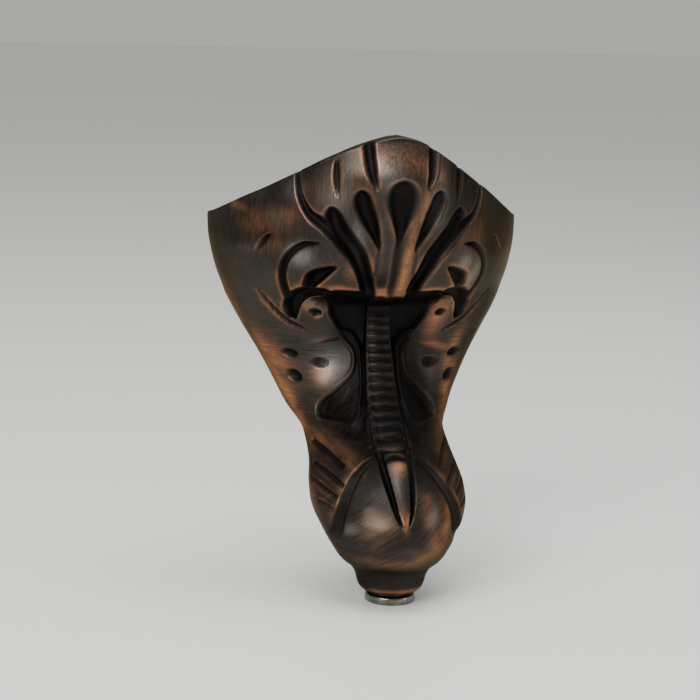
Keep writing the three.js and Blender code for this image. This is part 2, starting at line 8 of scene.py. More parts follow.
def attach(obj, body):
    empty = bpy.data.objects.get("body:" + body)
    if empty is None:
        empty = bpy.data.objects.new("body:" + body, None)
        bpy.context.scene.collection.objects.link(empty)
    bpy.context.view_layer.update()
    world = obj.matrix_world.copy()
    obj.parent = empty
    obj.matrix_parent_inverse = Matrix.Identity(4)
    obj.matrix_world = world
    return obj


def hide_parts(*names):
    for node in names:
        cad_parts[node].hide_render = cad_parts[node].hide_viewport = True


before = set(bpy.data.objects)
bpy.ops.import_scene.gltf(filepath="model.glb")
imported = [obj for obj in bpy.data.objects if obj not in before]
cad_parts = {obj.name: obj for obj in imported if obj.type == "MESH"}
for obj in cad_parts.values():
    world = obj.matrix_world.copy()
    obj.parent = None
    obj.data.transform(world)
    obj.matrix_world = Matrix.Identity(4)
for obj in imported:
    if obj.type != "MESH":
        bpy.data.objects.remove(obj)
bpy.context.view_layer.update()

MM = 0.001

# Sizes in millimetres, as in the solids
COLLAR_BOTTOM = 5.0
FLOOR_HEIGHT = 27.0
BOSS_RADIUS = 9.5
BOSS_FOOT = 25
BOSS_TOP = 34
WEB_HEIGHT = 34.0
WEB_THICKNESS = 6.5
WEB_MIDDLE = 130.0
WEB_BACK = 66.0
BOLT_HOLE_RADIUS = 5.25
STUD_RADIUS = 4.0
STUD_LENGTH = 38
STUD_TOP = 40.0
THREAD_PITCH = 1.25
NECK_RADIUS = 2.8
PAD_RADIUS = 10.8
PAD_THICKNESS = 3.5
SOCKET_DEPTH = 1.8
CLEARANCE = 0.3
WING_FLAT = 2.0
# From the plain skin to the hollow: the wall and the deepest carving
ALLOWANCE = 7.8

# Sizes that only the visual model has, in millimetres
RIM_ROUND = 1.4
EDGE_ROUND = 1.1
WEB_REACH = 72
WEB_INTO_WALL = 3.0
BOLT_REACH = 13
THREAD_DEPTH = 0.68
THREAD_RUN_OUT = 1.2
STUD_TIP_ROUND = 0.9
NECK_ROUND = 0.4
PAD_FOOT_ROUND = 0.8
PAD_TOP_ROUND = 1.1

# The grid over the front: columns from the middle to an edge, rows below and above RIM_ROWS_FROM
HALF_COLUMNS = 140
LOWER_ROWS = 222
UPPER_ROWS = 62
RIM_ROWS_FROM = 150
BACK_POINTS = 24
HOLLOW_COLUMNS = 73
HOLLOW_ROWS = 90
HOLLOW_FOOT = 33
HOLLOW_TOP = 205
# Heights at the ends of the steep step in the front, and how far back the hollow's middle is
STEEP_FRONT = [122.5, 127]
INNER_MIDDLE = 45
# Parts that are turned
ROUND_SEGMENTS = 64
PAD_SEGMENTS = 128
THREAD_SEGMENTS = 48
ROWS_PER_TURN = 9

# Horizontal sections of the outside: height, how far back the spine is, half width, reach forward
# on the centre line, reach at 45 degrees, reach behind the spine
SPINE, HALF_WIDTH, AHEAD, AT_45, BEHIND = range(1, 6)
SECTIONS = np.array([
    [5.0, 0.0, 11.6, 11.6, 11.6, 11.6], [6.4, 0.0, 13.2, 13.2, 13.2, 13.2],
    [9.0, 0.0, 14.4, 14.4, 14.4, 14.4], [13.0, 0.0, 15.6, 15.6, 15.6, 15.6],
    [15.5, 0.2, 17.4, 17.6, 17.4, 17.2], [18.0, 0.5, 20.6, 21.2, 20.8, 20.0],
    [25.0, 2.0, 25.8, 26.8, 26.2, 26.0], [32.0, 4.0, 29.6, 30.4, 29.8, 31.0],
    [38.0, 6.5, 32.3, 31.6, 31.4, 33.0], [44.0, 9.5, 33.5, 31.2, 31.6, 33.0],
    [50.0, 14.0, 33.3, 30.6, 30.4, 31.0], [56.0, 21.0, 32.0, 31.8, 29.0, 27.0],
    [61.0, 30.0, 31.4, 35.0, 29.0, 20.0], [66.0, 40.0, 31.3, 35.5, 30.0, 13.0],
    [75.0, 54.0, 36.5, 40.0, 32.0, 3.0], [87.0, 60.5, 42.5, 36.6, 32.5, 0.0],
    [97.0, 64.0, 47.8, 35.0, 34.0, 0.0], [108.0, 67.5, 54.4, 33.6, 38.0, 0.0],
    [118.0, 69.5, 60.0, 34.6, 45.4, 0.0], [122.5, 70.9, 62.2, 38.5, 50.0, 0.0],
    [124.8, 71.5, 63.0, 45.0, 52.5, 0.0], [127.0, 72.1, 63.8, 55.5, 55.0, 0.0],
    [131.5, 73.3, 65.5, 59.0, 59.8, 0.0], [140.0, 74.8, 67.8, 66.3, 65.4, 0.0],
    [150.0, 75.7, 69.5, 71.6, 67.0, 0.0], [165.0, 76.0, 69.8, 77.0, 66.0, 0.0],
    [178.0, 76.0, 69.8, 78.5, 64.5, 0.0], [188.0, 76.0, 69.8, 76.0, 63.0, 0.0],
    [197.0, 76.0, 69.8, 71.6, 62.0, 0.0],
])
# The top edge: angle, height on the left, height on the right
LEFT, RIGHT = 1, 2
RIM = np.array([
    [0, 196.6, 196.6], [4, 196, 195.7], [8, 194.8, 193.9], [16, 191.7, 187.9], [25, 187.1, 181.6],
    [35, 181.3, 176.4], [45, 176.3, 172.5], [55, 171.6, 168.1], [65, 167.1, 163.3],
    [75, 162.3, 159.2], [83, 159.1, 157.8], [90, 157.6, 157.3],
])
# Reach forward that holds for the wings alone: height, reach. Then the angles and heights over
# which it comes in, and the heights over which it and the wings' flats end or begin
WING_FRONT = np.array([
    [97, 35.0], [108, 34.5], [118, 41.5], [127, 50.5], [140, 63.8], [150, 71.6],
])
WING_ANGLES = (34, 56)
WING_FOOT = (97, 104)
WING_TOP = (146, 150)
WING_FLAT_HEIGHTS = (90, 135)
# How far the hollow reaches behind the spine: height, reach. Then how much further its front
# stands off the skin, the heights over which each of these comes in, and the angles over which
# they go
HOLLOW_BACK = np.array([
    [27, 14], [40, 24], [50, 22], [58, 30], [66, 40], [197, 60],
])
LOWER_OFF = 5.6
UPPER_OFF = 2.6
LOWER_OFF_FROM = (52, 66)
UPPER_OFF_FROM = (132, 142)
OFF_ANGLES = (34, 60)
# The rounding of its floor, from the top: share of the ring above, height
HOLLOW_ROUND = ((.985, 30.6), (.94, 28.4), (.8, FLOOR_HEIGHT))


def curve(table, column, x):
    """A smooth curve through a table's rows that never overshoots them."""
    xs, ys = table[:, 0], table[:, column]
    x = np.clip(np.asarray(x, float), xs[0], xs[-1])
    h = np.diff(xs)
    d = np.diff(ys) / h
    m = np.concatenate([[d[0]], np.zeros(len(xs) - 2), [d[-1]]])
    for k in range(1, len(xs) - 1):
        if d[k - 1] * d[k] > 0:
            mean = (d[k - 1] * h[k] + d[k] * h[k - 1]) / (h[k] + h[k - 1])
            m[k] = np.sign(mean) * min(abs(mean), 3 * abs(d[k - 1]), 3 * abs(d[k]))
    i = np.clip(np.searchsorted(xs, x, side="right") - 1, 0, len(h) - 1)
    t = (x - xs[i]) / h[i]
    a = (1 + 2 * t) * (1 - t) ** 2 * ys[i] + t * t * (3 - 2 * t) * ys[i + 1]
    return a + t * (1 - t) ** 2 * h[i] * m[i] - t * t * (1 - t) * h[i] * m[i + 1]


def smooth(x, a, b):
    """Rises from 0 at a to 1 at b, level at both ends."""
    t = np.clip((np.asarray(x, float) - a) / (b - a), 0, 1)
    return t * t * (3 - 2 * t)


def spine(z):
    return curve(SECTIONS, SPINE, z)


def half_width(z):
    return curve(SECTIONS, HALF_WIDTH, z)


def plain_radius(angle, z):
    """Distance of the skin from the spine before carving, by degrees from straight ahead."""
    q = np.sin(np.radians(angle)) ** 2
    ahead = curve(SECTIONS, AHEAD, z)
    on_wing = smooth(np.abs(angle), *WING_ANGLES) * smooth(z, *WING_FOOT)
    on_wing = on_wing * (1 - smooth(z, *WING_TOP))
    ahead = ahead + (curve(WING_FRONT, 1, z) - ahead) * on_wing
    front = ahead * (1 - q) * (1 - 2 * q)
    corner = curve(SECTIONS, AT_45, z) * 4 * q * (1 - q)
    flat = WING_FLAT * smooth(z, *WING_FLAT_HEIGHTS) * 256 / 27 * q ** 3 * (1 - q)
    return front + corner + half_width(z) * q * (2 * q - 1) - flat


def skin_point(angle, z, radius):
    """The point at an angle, a height and a distance from the spine."""
    turn = np.radians(angle)
    return np.stack([radius * np.sin(turn), spine(z) - radius * np.cos(turn), z + 0 * radius], -1)


def rim_height(angle):
    a = np.abs(angle)
    return np.where(np.asarray(angle) < 0, curve(RIM, LEFT, a), curve(RIM, RIGHT, a))


def rounded(points, times=2):
    """Cuts the corners of a closed outline."""
    p = np.array(points, float)
    near, far = 0.78, 0.22
    for _ in range(times):
        q = np.roll(p, -1, 0)
        p = np.stack([near * p + far * q, far * p + near * q], 1).reshape(-1, 2)
    return p


def signed_distance(x, z, outline):
    """Distance to a closed outline, negative inside it."""
    a = outline
    b = np.roll(outline, -1, 0)
    best = np.full(x.shape, 1e9)
    inside = np.zeros(x.shape, bool)
    for (ax, az), (bx, bz) in zip(a, b):
        ux, uz = bx - ax, bz - az
        t = np.clip(((x - ax) * ux + (z - az) * uz) / max(ux * ux + uz * uz, 1e-9), 0, 1)
        best = np.minimum(best, np.hypot(x - ax - t * ux, z - az - t * uz))
        if az != bz:
            inside ^= ((az > z) != (bz > z)) & (x < ax + (z - az) * ux / uz)
    return np.where(inside, -best, best)


# Outlines in the carving, each point by its distance from the centre line and its height: the
# hollow beside the ridge, the flap in it, the ring round the scroll's eye, the comma in the scroll,
# the cheek and the part of the ball that the cuff leaves bare
HOLLOW = [
    [5.1, 126.6], [9.1, 129.6], [25.1, 130.1], [25.1, 125.7], [23.4, 120.3], [21.9, 116.7],
    [20.7, 114.2], [17.6, 109.5], [13.6, 108.4], [11.2, 106.9], [9.2, 102.1], [9.2, 94],
    [9.3, 87.6], [10.8, 81.2], [13, 75], [16.9, 72.5], [27.4, 72.1], [22.3, 68.9], [18.6, 64],
    [13.1, 61.5], [7.2, 61.5], [7.3, 66], [7.1, 78], [6.2, 94], [5.4, 110],
]
FLAP = [
    [17.5, 110], [16.7, 106.9], [11.8, 101.8], [11.3, 96.8], [13.1, 91.3], [18.5, 85.6], [26, 78.2],
    [27.2, 71.8], [17, 71.8], [12, 74], [10, 81], [8.6, 87.6], [8.6, 94], [8.7, 102.5],
    [10.9, 107.5], [13.4, 109],
]
EYE_RING = [
    [24.2, 130.3], [35.8, 130.6], [38.6, 128.2], [40.4, 126.5], [41.5, 121.8], [40.7, 117.3],
    [38.7, 114.8], [35.7, 114.2], [35, 117.5], [34.3, 122.1], [32.3, 125.4], [29.4, 126.7],
    [26.1, 125.5], [23.9, 121.8], [22.8, 117.7], [21.4, 114.6], [19.8, 115.6], [21.5, 122.4],
]
COMMA = [
    [35.6, 129.7], [35.9, 133.1], [35.3, 136.4], [33.8, 138.2], [31.4, 139.6], [27.5, 140.7],
    [23.7, 141.4], [26.1, 138.2], [28.3, 134.9], [30.8, 131.8], [31.6, 129.7],
]
CHEEK = [
    [16.4, 107.2], [17.9, 106.5], [35.1, 102.1], [46, 99.4], [46, 80], [24, 80], [18, 85.6],
    [12.8, 91.3], [11, 96.8], [11.5, 102.2],
]
BALL = [
    [4.9, 63], [11.5, 61.4], [19.4, 54.8], [24.4, 48], [27.6, 40], [28.4, 31.5], [28, 22],
    [-16, 22], [-16, 64],
]

# Depths under the skin
HOLLOW_DEPTH = 5.6
FLAP_DEPTH = 3.0
RING_DEPTH = 4.4
COMMA_DEPTH = 5.2
CHEEK_DEPTH = 1.4
BALL_DEPTH = 2.7
CLAW_GROOVE_DEPTH = 5.0
SCUTE_DEPTH = 1.15

# The scroll's eye and the hole in it: angle, height. Then the eye's rise and the hole's depth
EYE = (41.4, 118.8)
EYE_HOLE = (40.5, 118.0)
EYE_RISE = 1.1
EYE_HOLE_DEPTH = 2.4

# Grooves: depth, how much of the half width is flat, and stations of angle, height and half width
GROOVES = [
    (5.2, 0.3, [[22.5, 163.6, 3.5], [22, 161.2, 5.1], [20.2, 156.3, 5.6], [14.3, 146.7, 4.82],
                [11, 135.6, 3.81], [9.6, 127.6, 3.58], [9.4, 125.1, 3.58]]),
    (3, 0.3, [[37.8, 179.7, 1.32], [35.8, 170.3, 1.98], [31.2, 162.7, 2.51], [25.3, 158.4, 3.43],
              [19.8, 152.3, 3.17]]),
    (3.4, 0.55, [[12.7, 171.8, 3], [12.5, 169.8, 4.3], [11.4, 165.6, 4.4], [9.5, 160.1, 3.36],
                 [7.8, 154.5, 1.9], [6.3, 149, 0.56]]),
    (2.4, 0.4, [[21.6, 185.7, 0.7], [21.3, 179.2, 1.8], [20.5, 170.8, 0.4]]),
    (2.6, 0.4, [[11.6, 197.1, 3], [11, 192.1, 2.88], [9.7, 182, 2.52], [8.1, 174.7, 0.48]]),
    (3, 0.35, [[27.5, 150.9, 0.4], [34.1, 149.5, 1.3], [40.4, 144.6, 1.9], [44.8, 137.5, 2.2],
               [47.7, 130.4, 2.4], [50.8, 122.8, 2], [52, 116.5, 0.7]]),
    (2, 0.35, [[49, 152.4, 0.5], [52.6, 149.2, 1.4], [56, 144.9, 0.7]]),
    (1.8, 0.3, [[63.1, 126.8, 0.4], [61.8, 119.6, 1], [57.7, 113.6, 1], [49.4, 109.2, 0.3]]),
    (1.6, 0.35, [[75.4, 64, 1], [61, 61, 1.3], [48, 57.4, 1.2]]),
    (1.6, 0.35, [[80.2, 57.1, 0.6], [64, 54.4, 1.3], [50, 51.2, 1.2]]),
    (1.5, 0.35, [[84.6, 51.5, 0.5], [70, 49.4, 1.2], [56, 46.9, 1]]),
    (0.9, 0.35, [[74.5, 44, 0.4], [66, 43.4, 0.7], [58.8, 42.3, 0.5]]),
]
# The fan's middle tear, in the same order
BIG_TEAR = (3.8, .6, [[0, 174.6, 5.2], [0, 173.2, 6.8], [0, 171.2, 7.3], [0, 168.3, 6.7],
                      [0, 164.6, 5.2], [0, 160, 3.4], [0, 154.9, 1.7], [0, 150.5, 0.6]])
# Pits: angle, height, half length, half height, tilt in degrees, depth
PITS = [
    (64.2, 98.8, 3.5, 2.0, 0, 2.3), (66.3, 89, 3.7, 2.9, 0, 2.4), (46.6, 95.6, 4.6, 2.8, -4, 2.4),
]
# The scutes on the ridge: how many, the lowest groove's height, and their reach upwards
SCUTES = 14
SCUTE_FOOT = 64
SCUTE_REACH = 53.5

# How finely a groove's path is followed, and how many places are looked up at once
PATH_STEPS = 24
PLACES_AT_ONCE = 4000

# Half widths by height: the talon, the outside of its grooves, the ridge
CLAW_HALF = np.array([
    [35.2, .05], [36.4, .7], [40, 1.8], [48.5, 3.1], [54, 3.8], [60, 4.6], [62, 4.6],
])
CLAW_GROOVE = np.array([
    [34.2, .0], [35.7, 1.5], [38, 2.6], [44, 5.3], [50, 7], [56, 8.4], [62, 9],
])
RIDGE_HALF = np.array([
    [60, 6.6], [66, 7.1], [78, 7.0], [94, 6.1], [110, 5.3], [128, 5.2],
])


def cuff_width(z):
    """Width of the bevel along the cuff's edge, narrower towards its top."""
    return 1.9 - .9 * smooth(z, 48, 62)


def groove_depth(points, groove):
    """Depth of one groove at the grid's points, from the distance to its path over the skin."""
    depth, flat, path = groove
    path = np.array(path, float)
    knots = np.arange(len(path), dtype=float)
    t = np.linspace(0, len(path) - 1, PATH_STEPS * (len(path) - 1) + 1)
    table = np.column_stack([knots, path])
    a, h, w = (curve(table, k, t) for k in (1, 2, 3))
    on = skin_point(a, h, plain_radius(a, h))
    reach = w.max() * 1.2 + 1
    places = points.reshape(-1, 3)
    inside = (places > on.min(0) - reach) & (places < on.max(0) + reach)
    near = np.flatnonzero(inside.all(-1))
    out = np.zeros(len(places))
    full = 0.55 * w.max()
    for part in np.array_split(near, max(1, len(near) // PLACES_AT_ONCE)):
        d = np.linalg.norm(places[part][:, None] - on[None], axis=-1) / w[None]
        best = d.argmin(1)
        rho = d[np.arange(len(part)), best]
        narrow = 1 - smooth(w[best], 1.0, 2.2)
        level = .45 * flat * (1 - narrow)
        wall = 1 - smooth(rho, level, 1.12 + .2 * narrow)
        out[part] = depth * np.minimum(1, w[best] / full) ** .8 * wall
    return out.reshape(points.shape[:-1])


def relief(angle, z):
    """Depth of the carving under the plain skin, negative where it stands proud. Also gives the
    depth of the ball and the cheeks alone, whose depth brings no dark patina or painted shade."""
    a = np.abs(angle)
    radius = plain_radius(a, z)
    x = radius * np.sin(np.radians(a))
    points = skin_point(a, z, radius)

    def sink(outline, amount, wall, times=2):
        d = signed_distance(x, z, rounded(outline, times))
        return amount * (1 - smooth(d, -wall, wall * .35))

    # the ball lies within the cuff's bevel and swells towards its middle, and the cheeks lie a
    # little under the wings
    cuff = signed_distance(x, z, rounded(BALL))
    ball = np.clip((.3 - cuff) / (cuff_width(z) + .3), 0, 1) * smooth(z, 26, 34)
    step = BALL_DEPTH - .9 * smooth(-cuff, 2, 10)
    cheek = sink(CHEEK, CHEEK_DEPTH, 1.6, 1) * smooth(z, 84, 97) * (1 - smooth(a, 38, 58))
    base = np.maximum(step * ball, cheek)

    # the flap with a swelling in it, the hollow with its wall leaning more towards its foot, the
    # ring round the eye and the comma
    swell = .9 * np.exp(-((x - 15) / 5) ** 2 - ((z - 77) / 4.5) ** 2) * (x > 6)
    depth = np.maximum(base, sink(FLAP, FLAP_DEPTH, 1.3) - swell)
    wall = 1.3 + 1.5 * (1 - smooth(z, 99, 108)) + 3.0 * (1 - smooth(z, 64, 84))
    depth = np.maximum(depth, sink(HOLLOW, HOLLOW_DEPTH, wall) * (.32 + .68 * smooth(z, 62, 88)))
    depth = np.maximum(depth, sink(EYE_RING, RING_DEPTH, 1.5, 3))
    depth = np.maximum(depth, sink(COMMA, COMMA_DEPTH, 1.9, 3))

    # the scroll's eye: a low dome with an oval hole
    centre, hole = (skin_point(*np.array(at), plain_radius(*at)) for at in (EYE, EYE_HOLE))
    apart = np.linalg.norm(points - centre, axis=-1)
    depth -= EYE_RISE * (1 - smooth(apart, 3.5, 7.4))
    off = points - hole
    apart = np.hypot(np.hypot(off[..., 0], off[..., 1]) * .8, off[..., 2] * 1.25)
    depth = np.maximum(depth, EYE_HOLE_DEPTH * (1 - smooth(apart, .9, 2.5)))

    for groove in (*GROOVES, BIG_TEAR):
        depth = np.maximum(depth, groove_depth(points, groove))
    for at, height, along, up, tilt, amount in PITS:
        u, v = np.radians(a - at) * radius, z - height
        c, s = math.cos(math.radians(tilt)), math.sin(math.radians(tilt))
        rho = np.hypot((c * u + s * v) / along, (-s * u + c * v) / up)
        depth = np.maximum(depth, amount * (1 - smooth(rho, .35, 1.12)))

    # the fan: its raised middle lobe, the crease between its petals and their swelling
    depth -= 0.9 * (1 - smooth(a, 4, 11.5)) * smooth(z, 174, 184)
    depth += np.exp(-(x / 1.5) ** 2) * (1 - smooth(z, 148, 156)) * smooth(z, 126, 128)
    petal = np.cos(np.clip(x / 9.0, 0, 1) * np.pi * 2) * (1 - smooth(z, 146, 158))
    depth += 0.35 * petal * smooth(z, 127, 130) * (x < 9)

    # the ridge is round across, with grooves between its scutes
    half = curve(RIDGE_HALF, 1, z)
    on_ridge = smooth(z, 61.5, 64) * (1 - smooth(z, 121, 124))
    across = np.clip(x / half, 0, 1.25)
    ridge = 1.5 * across ** 2.2 * (across < 1.2)
    index = np.round((z - SCUTE_FOOT) * SCUTES / SCUTE_REACH)
    with_scutes = (z > SCUTE_FOOT - 2) * (z < SCUTE_FOOT + 55.4)
    bow = 0.35 * across ** 2
    gap = np.abs(z + bow - (SCUTE_FOOT + index * SCUTE_REACH / SCUTES))
    bar = SCUTE_DEPTH * np.exp(-(gap / .8) ** 2) * (1 - smooth(across, .82, 1.05)) * with_scutes
    depth = np.where(x < half * 1.2, np.maximum(depth, (ridge + bar) * on_ridge), depth)

    # the talon stands proud of the ball between two grooves, with a slanted crest and an arched root
    claw = curve(CLAW_HALF, 1, z)
    outer = curve(CLAW_GROOVE, 1, z)
    beside = (x - claw) / np.maximum(outer - claw, .3)
    along = smooth(z, 34.6, 41) * (1 - smooth(z, 61.5, 66))
    cut = CLAW_GROOVE_DEPTH * along * smooth(beside, -.12, .25) * (1 - smooth(beside, .5, 1.25))
    depth = np.maximum(depth, cut)
    signed = np.where(angle < 0, -x, x)
    facet = signed + 0.28 * claw
    nail = (x < claw * 1.08) & (z > 35) & (z < 63.5)
    body = 0.15 + 0.55 * np.abs(facet / np.maximum(claw, .4)) ** 1.4
    tip = smooth(z, 35, 38)
    depth = np.where(nail, body * tip + step * (1 - tip) * ball, depth)
    arch = 62.3 - 1.6 * (x / 4.6) ** 2
    depth += 1.1 * np.exp(-((z - arch - .5) / .7) ** 2) * (x < 6.2)
    return depth, base


def spread(total, count):
    """Positions of equal share along a cumulated length."""
    return np.interp(np.linspace(0, total[-1], count), total, np.arange(len(total)))


def grid_columns():
    """Angles from the right-hand edge to the left-hand one, close together in front."""
    fine = np.linspace(0, 90, 1801)
    weight = np.where(fine < 58, 1.0, 0.52) + 4.0 * (fine > 88.9)
    total = np.concatenate([[0], np.cumsum((weight[1:] + weight[:-1]) / 2)])
    half = np.interp(spread(total, HALF_COLUMNS), np.arange(len(fine)), fine)
    return np.concatenate([-half[::-1], half[1:]])


def grid_rows():
    """Heights from the collar to where the rim's rows begin, evenly spaced over the steepest front."""
    z = np.linspace(COLLAR_BOTTOM, RIM_ROWS_FROM, 3000)
    step = np.zeros(len(z) - 1)
    for angle in (0, 25, 50):
        p = skin_point(np.full(z.shape, float(angle)), z, plain_radius(angle, z))
        step = np.maximum(step, np.linalg.norm(np.diff(p, axis=0), axis=1))
    total = np.concatenate([[0], np.cumsum(step)])
    return np.interp(spread(total, LOWER_ROWS), np.arange(len(z)), z)


def make_mesh(name, points, faces):
    mesh = bpy.data.meshes.new(name)
    mesh.from_pydata([tuple(p) for p in points * MM], [], faces)
    mesh.update()
    obj = bpy.data.objects.new(name, mesh)
    bpy.context.collection.objects.link(obj)
    return obj


def loft(name, rings, low, high):
    """A closed body through rings of points, with a fan of faces at each end."""
    count = len(rings[0])
    points = np.concatenate([*rings, [low], [high]])
    index = np.arange(len(rings) * count).reshape(len(rings), count)
    a, b = index[:-1], np.roll(index[:-1], -1, 1)
    c, d = np.roll(index[1:], -1, 1), index[1:]
    quads = np.stack([a, b, c, d], -1).reshape(-1, 4)
    faces = quads.tolist()
    first, last = index[0], index[-1]
    bottom, top = len(points) - 2, len(points) - 1
    faces += [[bottom, first[(i + 1) % count], first[i]] for i in range(count)]
    faces += [[top, last[i], last[(i + 1) % count]] for i in range(count)]
    return make_mesh(name, points, faces)


def back_points(z, inset, reach):
    """Half an ellipse behind the spine, from the right-hand edge to the left-hand one."""
    turn = np.pi * np.arange(1, BACK_POINTS) / BACK_POINTS
    across = (half_width(z) - inset) * np.cos(turn)
    return np.stack([across, spine(z) + reach * np.sin(turn), z + 0 * turn], -1)


def outer_block():
    """The outside as a closed block, carved in front, with the grid that it was made from."""
    angles = grid_columns()
    rows = [np.full(angles.shape, z) for z in grid_rows()]
    top = rim_height(angles) - RIM_ROUND
    rows += [RIM_ROWS_FROM + (top - RIM_ROWS_FROM) * k / UPPER_ROWS for k in range(1, UPPER_ROWS + 1)]
    z = np.array(rows)
    a = np.broadcast_to(angles, z.shape)
    depth, base = relief(a, z)
    radius = plain_radius(a, z)
    # the back edge of each wing is rounded over
    from_edge = np.radians(90 - np.abs(a)) * radius
    bend = np.clip(1 - from_edge / EDGE_ROUND, 0, 1)
    inset = EDGE_ROUND * (1 - np.sqrt(1 - bend ** 2)) * (1 - smooth(curve(SECTIONS, BEHIND, z), 0, 5))
    surface = skin_point(a, z, radius - depth - inset)
    rings = []
    for i in range(len(z)):
        edge = z[i, -1]
        reach = curve(SECTIONS, BEHIND, edge)
        rings.append(np.concatenate([surface[i], back_points(edge, inset[i, -1], reach)]))
    # the rim is rounded over at the top
    for turn in np.radians([18, 36, 54, 72, 90]):
        drop = RIM_ROUND * (1 - math.sin(turn))
        into = RIM_ROUND * (1 - math.cos(turn))
        h = rim_height(angles) - drop
        ring = skin_point(angles, h, radius[-1] - depth[-1] - inset[-1] - into)
        rings.append(np.concatenate([ring, back_points(h[-1], into + inset[-1, -1], 0)]))
    # a last ring inside the hollow, which the cut takes away with the fan that closes it
    h = rim_height(angles)
    ring = skin_point(angles, h, radius[-1] - ALLOWANCE - 3)
    rings.append(np.concatenate([ring, back_points(h[-1], ALLOWANCE + 3, 0)]))
    block = loft("casting_look", rings, [0, 0, COLLAR_BOTTOM], [0, INNER_MIDDLE, h[-1]])
    return block, angles, z, depth, base, surface


def hollow_body(inset=0.0):
    """What the hollow takes away, or more than that where the inset is negative."""
    angles = np.linspace(-90, 90, HOLLOW_COLUMNS)
    heights = np.linspace(HOLLOW_FOOT, HOLLOW_TOP, HOLLOW_ROWS)
    heights = np.unique(np.concatenate([heights, STEEP_FRONT]))
    rings = []
    for z in heights:
        low, high = smooth(z, *LOWER_OFF_FROM), smooth(z, *UPPER_OFF_FROM)
        off = low * (1 - high) * LOWER_OFF + high * UPPER_OFF
        near = 1 - smooth(np.abs(angles), *OFF_ANGLES)
        level = np.full(angles.shape, z)
        radius = plain_radius(angles, level) - ALLOWANCE - off * near - inset
        ring = skin_point(angles, level, radius)
        reach = curve(HOLLOW_BACK, 1, z)
        rings.append(np.concatenate([ring, back_points(z, ALLOWANCE + inset, reach)]))
    # the floor is rounded into the walls
    centre = rings[0].mean(0)
    for share, height in HOLLOW_ROUND:
        ring = rings[0] * [share, share, 0] + [0, 0, height]
        rings.insert(0, ring)
    low = [0, centre[1] * .9, FLOOR_HEIGHT]
    return loft("hollow", rings, low, [0, INNER_MIDDLE, HOLLOW_TOP])


def circle(radius, height, turn):
    return np.stack([radius * np.cos(turn), radius * np.sin(turn), height + 0 * turn], -1)


def turned(name, outline, segments=ROUND_SEGMENTS, centre=(0, 0, 0), along_y=False):
    """A body turned about an upright axis, or about one that points back."""
    outline = np.array(outline, float)
    turn = 2 * np.pi * np.arange(segments) / segments
    rings = [circle(r, z, turn) for r, z in outline[1:-1]]
    obj = loft(name, rings, [0, 0, outline[0][1]], [0, 0, outline[-1][1]])
    if along_y:
        obj.data.transform(Matrix.Rotation(-math.pi / 2, 4, "X"))
    obj.data.transform(Matrix.Translation(Vector(centre) * MM))
    return obj


def box_body(name, low, high):
    (x0, y0, z0), (x1, y1, z1) = low, high
    rings = [np.array([[x0, y0, z], [x1, y0, z], [x1, y1, z], [x0, y1, z]], float) for z in (z0, z1)]
    middle = [(x0 + x1) / 2, (y0 + y1) / 2]
    return loft(name, rings, [*middle, z0], [*middle, z1])


def combine(obj, other, operation):
    """Joins, cuts or clips a body with another, which is used up."""
    modifier = obj.modifiers.new("cut", "BOOLEAN")
    modifier.operation = operation
    modifier.object = other
    modifier.solver = "MANIFOLD"
    depsgraph = bpy.context.evaluated_depsgraph_get()
    mesh = bpy.data.meshes.new_from_object(obj.evaluated_get(depsgraph))
    obj.modifiers.clear()
    old = obj.data
    obj.data = mesh
    bpy.data.meshes.remove(old)
    bpy.data.objects.remove(other)


def positions(mesh):
    values = np.empty(len(mesh.vertices) * 3, np.float32)
    mesh.vertices.foreach_get("co", values)
    return values.reshape(-1, 3)


def blur(field, times):
    for _ in range(times):
        p = np.pad(field, 1, mode="edge")
        beside = p[:-2, 1:-1] + p[2:, 1:-1] + p[1:-1, :-2] + p[1:-1, 2:]
        field = (p[1:-1, 1:-1] * 2 + beside) / 6
    return field


